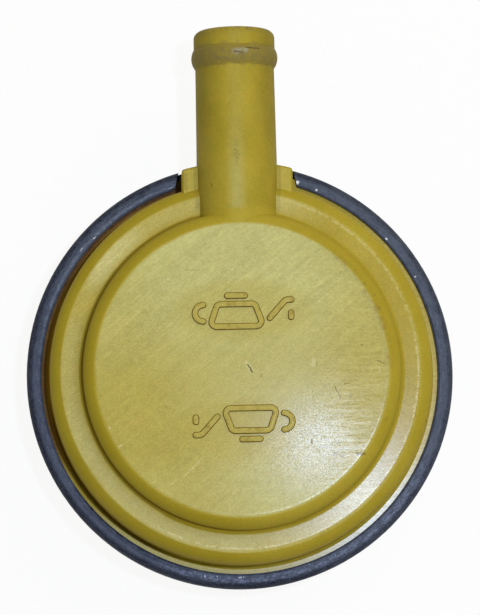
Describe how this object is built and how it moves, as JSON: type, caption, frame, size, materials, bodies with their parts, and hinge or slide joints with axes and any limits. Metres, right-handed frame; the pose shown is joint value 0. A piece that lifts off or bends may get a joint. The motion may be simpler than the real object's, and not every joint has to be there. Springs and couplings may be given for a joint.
{
  "type": "oil filler cap",
  "caption": "Round yellow engine oil filler cap with a stepped top, a black rubber rim seal, a radial breather hose spigot and a bayonet neck with a gauze filter.",
  "frame": {"origin": "on the cap's axis in the sealing plane, where the rim seal's underside meets the filler opening", "axes": "+Z along the cap's axis out of its top, +Y along the hose spigot"},
  "size_m": [0.071, 0.0922, 0.03],
  "materials": {
    "yellow_plastic": "satin moulding, worn",
    "black_rubber": "smooth rubber",
    "steel_wire": "knitted wire",
    "plated_steel": "plated, dull"
  },
  "bodies": {
    "root": {"cover": "yellow_plastic", "rim_seal": "black_rubber", "gauze_pad": "steel_wire", "gauze_plate": "plated_steel"}
  },
  "joints": []
}
